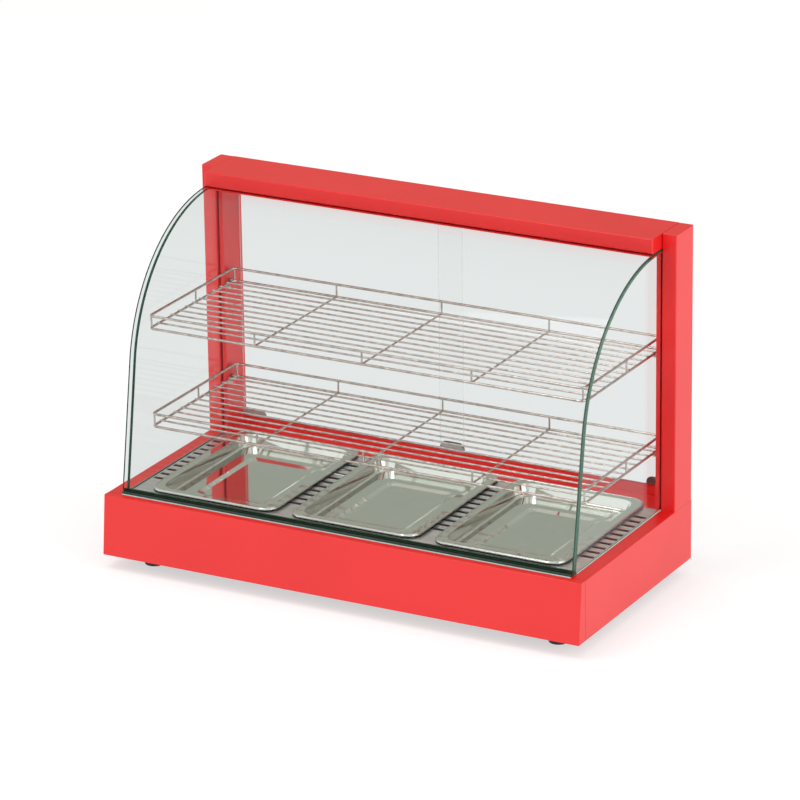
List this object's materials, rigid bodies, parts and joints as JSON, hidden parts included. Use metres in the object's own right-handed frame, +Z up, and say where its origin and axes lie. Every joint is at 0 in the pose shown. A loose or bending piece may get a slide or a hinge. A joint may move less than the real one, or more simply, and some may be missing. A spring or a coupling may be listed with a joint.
{
  "type": "curved glass food warmer",
  "caption": "Countertop food warmer with a curved glass front, wire racks, lift-out pans over a vented steel deck and clear sliding doors at the back.",
  "frame": {"origin": "under the middle of the warmer, on the counter", "axes": "+X to the right seen from the front, +Y to the back, +Z up"},
  "size_m": [0.9, 0.428, 0.617],
  "materials": {
    "red_paint": "smooth glossy powder coat",
    "satin_steel": "satin stainless sheet",
    "polished_steel": "polished stainless sheet",
    "chrome_wire": "bright plated wire",
    "clear_glass": "clear glass with green edges",
    "clear_plastic": "clear plastic",
    "clear_seal": "translucent silicone",
    "lamp_white": "frosted lamp tube",
    "white_plastic": "moulded",
    "heater_sheath": "heat-darkened steel sheath",
    "black_plastic": "moulded",
    "switch_red": "translucent moulded",
    "switch_black": "moulded",
    "black_rubber": "moulded"
  },
  "bodies": {
    "cabinet": {"base_pan": "satin_steel", "cable_gland": "black_plastic", "column_left": "red_paint", "column_right": "red_paint", "control_recess": "satin_steel", "deck": "satin_steel", "door_track_lower": "red_paint", "door_track_upper": "red_paint", "element_bracket": "satin_steel", "element_front": "heater_sheath", "element_rear": "heater_sheath", "element_saddles": "satin_steel", "foot_front_left": "black_rubber", "foot_front_right": "black_rubber", "foot_rear_left": "black_rubber", "foot_rear_right": "black_rubber", "foot_screws": "satin_steel", "front_cover": "red_paint", "front_glass": "clear_glass", "front_glass_seal": "clear_seal", "header_base": "red_paint", "header_cover": "red_paint", "heat_shield": "satin_steel", "lamp_lens": "clear_plastic", "lamp_switch_body": "black_plastic", "lamp_tube": "lamp_white", "lampholders": "white_plastic", "pilot_lamp": "switch_red", "power_switch_body": "black_plastic", "rack_lower_grid": "chrome_wire", "rack_lower_guard": "chrome_wire", "rack_pegs_left": "chrome_wire", "rack_pegs_right": "chrome_wire", "rack_upper_grid": "chrome_wire", "rack_upper_guard": "chrome_wire", "rear_panel": "red_paint", "rear_screws": "satin_steel", "rear_shelf": "red_paint", "shield_spacers": "satin_steel", "side_glass_left": "clear_glass", "side_glass_right": "clear_glass", "side_panel_left": "red_paint", "side_panel_right": "red_paint", "terminal_block": "white_plastic", "thermostat_body": "black_plastic", "upright_left": "red_paint", "upright_right": "red_paint"},
    "door_left": {"door_left": "clear_glass", "door_left_pulls": "clear_plastic"},
    "door_right": {"door_right": "clear_glass", "door_right_pulls": "clear_plastic"},
    "pan_left": {"pan_left": "polished_steel"},
    "pan_centre": {"pan_centre": "polished_steel"},
    "pan_right": {"pan_right": "polished_steel"},
    "knob": {"thermostat_knob": "black_plastic", "thermostat_shaft": "heater_sheath"},
    "power_rocker": {"power_rocker": "switch_red"},
    "lamp_rocker": {"lamp_rocker": "switch_black"}
  },
  "joints": [
    {"name": "door_left_slide", "type": "slide", "parent": "cabinet", "child": "door_left", "axis": [1, 0, 0], "range_m": [0, 0.386]},
    {"name": "door_right_slide", "type": "slide", "parent": "cabinet", "child": "door_right", "axis": [-1, 0, 0], "range_m": [0, 0.386]},
    {"name": "pan_left_lift", "type": "slide", "parent": "cabinet", "child": "pan_left", "axis": [0, 0, 1], "range_m": [0, 0.07]},
    {"name": "pan_centre_lift", "type": "slide", "parent": "cabinet", "child": "pan_centre", "axis": [0, 0, 1], "range_m": [0, 0.07]},
    {"name": "pan_right_lift", "type": "slide", "parent": "cabinet", "child": "pan_right", "axis": [0, 0, 1], "range_m": [0, 0.07]},
    {"name": "knob_turn", "type": "hinge", "parent": "cabinet", "child": "knob", "pos_m": [0.178, 0.2, 0.082], "axis": [0, -1, 0], "range_deg": [0, 270]},
    {"name": "power_rocker_tilt", "type": "hinge", "parent": "cabinet", "child": "power_rocker", "pos_m": [0.238, 0.187, 0.082], "axis": [-1, 0, 0], "range_deg": [0, 16]},
    {"name": "lamp_rocker_tilt", "type": "hinge", "parent": "cabinet", "child": "lamp_rocker", "pos_m": [0.274, 0.187, 0.082], "axis": [-1, 0, 0], "range_deg": [0, 16]}
  ]
}
